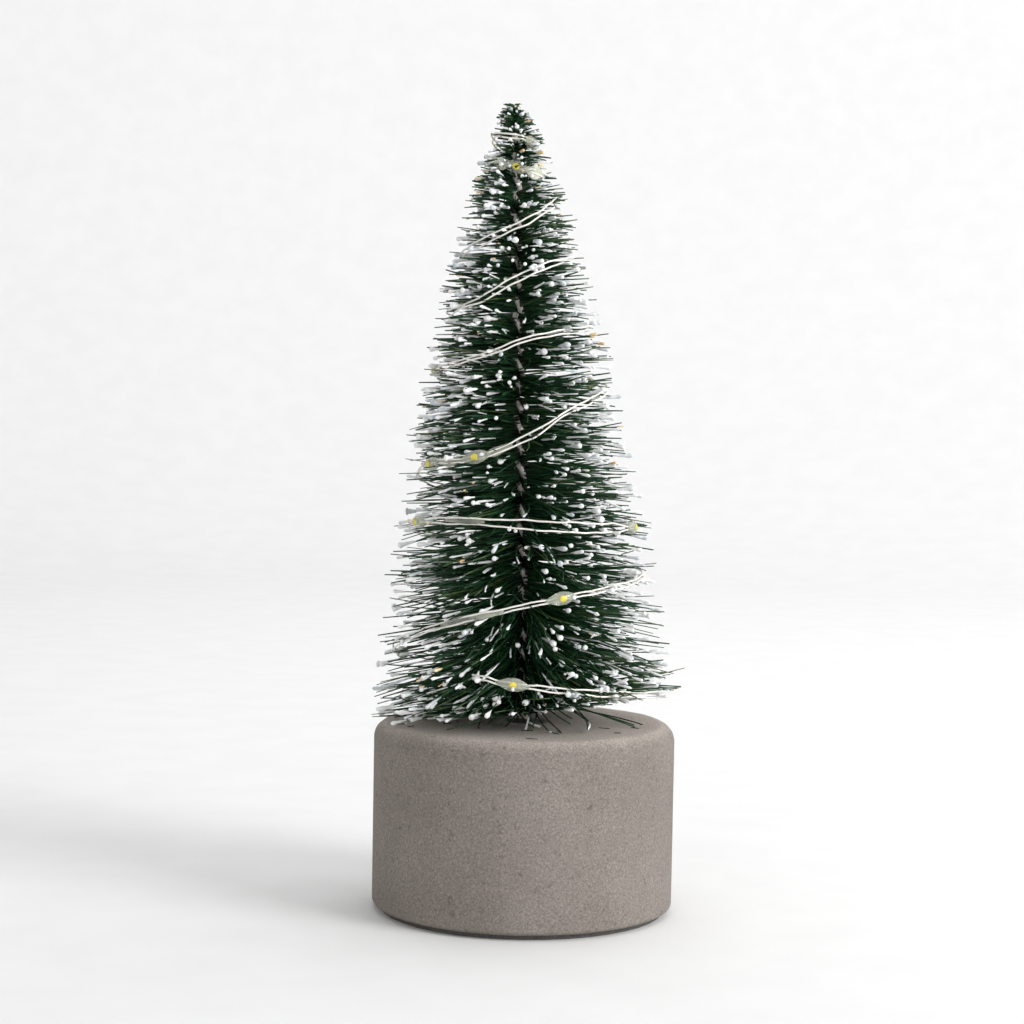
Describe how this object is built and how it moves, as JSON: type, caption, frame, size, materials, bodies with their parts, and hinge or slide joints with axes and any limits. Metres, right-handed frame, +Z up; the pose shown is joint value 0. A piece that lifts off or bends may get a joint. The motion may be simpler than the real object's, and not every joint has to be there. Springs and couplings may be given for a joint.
{
  "type": "artificial tabletop tree",
  "caption": "Snow-tipped bottle-brush tree wound with a string of micro lamps, standing on a round concrete base that holds its cells and switch.",
  "frame": {"origin": "centre of the foot pad's underside, on the surface it stands on", "axes": "+Z up along the base's axis, the front faces -Y, the tree leans slightly to -X"},
  "size_m": [0.088, 0.088, 0.2367],
  "materials": {
    "concrete": "matt sandy cast concrete",
    "foam": "matt foam",
    "rubber": "matt",
    "trunk_wire": "dull galvanised",
    "steel": "zinc plated",
    "bristle": "green film strands with white flocked tips",
    "silver_wire": "satin lacquered",
    "resin": "clear resin, slightly milky",
    "black_plastic": "fine moulded grain",
    "plug_plastic": "moulded nylon",
    "nickel": "nickel plated",
    "cell_jacket": "printed film over steel",
    "chip_plastic": "matt",
    "board": "green solder mask"
  },
  "bodies": {
    "tree": {"concrete_base": "concrete", "base_pad": "foam", "lead_grommet": "rubber", "trunk_ferrule": "steel", "core_wire_a": "trunk_wire", "core_wire_b": "trunk_wire", "light_wire_a": "silver_wire", "light_wire_b": "silver_wire", "battery_housing": "black_plastic", "circuit_board": "board", "timer_chip": "chip_plastic", "resistor": "chip_plastic", "switch_body": "steel", "bristle_whorl_01": "bristle", "bristle_whorl_02": "bristle", "bristle_whorl_03": "bristle", "bristle_whorl_04": "bristle", "bristle_whorl_05": "bristle", "bristle_whorl_06": "bristle", "bristle_whorl_07": "bristle", "bristle_whorl_08": "bristle", "bristle_whorl_09": "bristle", "bristle_whorl_10": "bristle", "bristle_whorl_11": "bristle", "bristle_whorl_12": "bristle", "bristle_whorl_13": "bristle", "bristle_whorl_14": "bristle", "bristle_whorl_15": "bristle", "led_bead_01": "resin", "led_bead_02": "resin", "led_bead_03": "resin", "led_bead_04": "resin", "led_bead_05": "resin", "led_bead_06": "resin", "led_bead_07": "resin", "led_bead_08": "resin", "led_bead_09": "resin", "led_bead_10": "resin", "led_bead_11": "resin", "led_bead_12": "resin", "led_bead_13": "resin", "led_bead_14": "resin", "led_bead_15": "resin", "led_bead_16": "resin", "battery_cell_1": "cell_jacket", "contact_spring_1": "nickel", "contact_plate_1": "nickel", "battery_cell_2": "cell_jacket", "contact_spring_2": "nickel", "contact_plate_2": "nickel", "battery_cell_3": "cell_jacket", "contact_spring_3": "nickel", "contact_plate_3": "nickel", "housing_screw_1": "steel", "screw_plug_1": "plug_plastic", "housing_screw_2": "steel", "screw_plug_2": "plug_plastic"},
    "battery_cover": {"battery_cover": "black_plastic"},
    "switch_slider": {"switch_slider": "rubber"}
  },
  "joints": [
    {"name": "battery_cover_hinge", "type": "hinge", "parent": "tree", "child": "battery_cover", "pos_m": [-0.0272, 0.004, 0.0028], "axis": [0, 1, 0], "range_deg": [0, 85]},
    {"name": "switch_slide", "type": "slide", "parent": "tree", "child": "switch_slider", "axis": [1, 0, 0], "range_m": [0, 0.004]}
  ]
}
